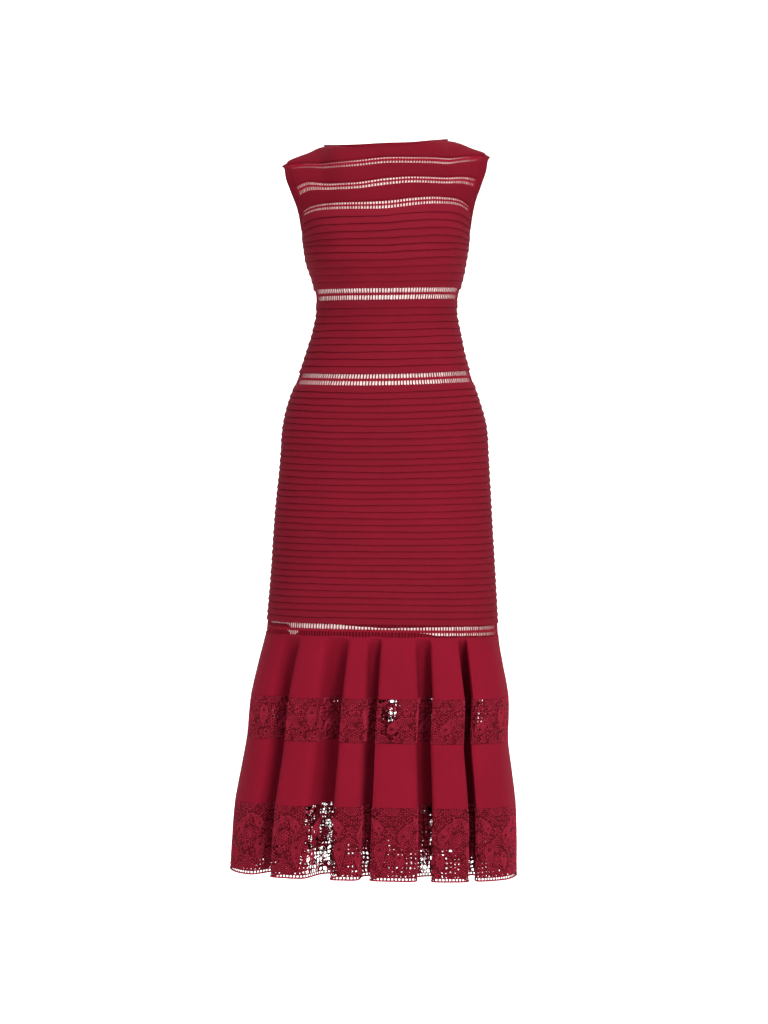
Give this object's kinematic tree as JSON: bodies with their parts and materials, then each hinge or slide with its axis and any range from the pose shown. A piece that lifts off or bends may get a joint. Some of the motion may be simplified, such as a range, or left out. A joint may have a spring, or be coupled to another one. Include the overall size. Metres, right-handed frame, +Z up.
{
  "type": "sleeveless boat-neck midi dress with horizontal tucks, ladder trims and a flared lace-banded flounce",
  "caption": "Fitted sleeveless boat-neck midi dress, tucked across the body, with openwork ladder bands and a flared, lace-banded flounce below the knee.",
  "frame": {"origin": "midway between the two shoulder seams at the neck, where the wearer's shoulders carry the dress", "axes": "+Z up along the dress, -Y the front, +X the wearer's left"},
  "size_m": [0.4941, 0.3641, 1.2577],
  "materials": {
    "tucked_cloth": "matte crepe",
    "plain_cloth": "matte crepe",
    "ladder_trim": "corded openwork",
    "lace": "guipure lace",
    "lining": "soft satin",
    "zip_tape": "woven tape",
    "zip_metal": "enamelled"
  },
  "bodies": {
    "dress": {"front_neck_band": "plain_cloth", "front_ladder_1": "ladder_trim", "front_yoke_band_1": "plain_cloth", "front_ladder_2": "ladder_trim", "front_yoke_band_2": "plain_cloth", "front_ladder_3": "ladder_trim", "front_bodice": "tucked_cloth", "front_ladder_4": "ladder_trim", "front_midriff": "tucked_cloth", "front_ladder_5": "ladder_trim", "front_skirt": "tucked_cloth", "front_ladder_6": "ladder_trim", "back_right_neck_band": "plain_cloth", "back_right_ladder_1": "ladder_trim", "back_right_yoke_band_1": "plain_cloth", "back_right_ladder_2": "ladder_trim", "back_right_yoke_band_2": "plain_cloth", "back_right_ladder_3": "ladder_trim", "back_right_bodice": "tucked_cloth", "back_right_ladder_4": "ladder_trim", "back_right_midriff": "tucked_cloth", "back_right_ladder_5": "ladder_trim", "back_right_skirt": "tucked_cloth", "back_right_ladder_6": "ladder_trim", "back_left_neck_band": "plain_cloth", "back_left_ladder_1": "ladder_trim", "back_left_yoke_band_1": "plain_cloth", "back_left_ladder_2": "ladder_trim", "back_left_yoke_band_2": "plain_cloth", "back_left_ladder_3": "ladder_trim", "back_left_bodice": "tucked_cloth", "back_left_ladder_4": "ladder_trim", "back_left_midriff": "tucked_cloth", "back_left_ladder_5": "ladder_trim", "back_left_skirt": "tucked_cloth", "back_left_ladder_6": "ladder_trim", "flounce_tier_1": "plain_cloth", "flounce_lace_1": "lace", "flounce_tier_2": "plain_cloth", "flounce_lace_2": "lace", "hem_cord": "ladder_trim", "neck_binding": "plain_cloth", "armhole_binding_left": "plain_cloth", "armhole_binding_right": "plain_cloth", "lining_front": "lining", "lining_back": "lining", "zip_tape": "zip_tape", "zip_slider": "zip_metal"},
    "pull_tab": {"zip_pull_tab": "zip_metal"}
  },
  "joints": [
    {"name": "pull_tab_swing", "type": "hinge", "parent": "dress", "child": "pull_tab", "pos_m": [0, 0.07222, -0.00715], "axis": [1, 0, 0], "range_deg": [0, 150]}
  ]
}
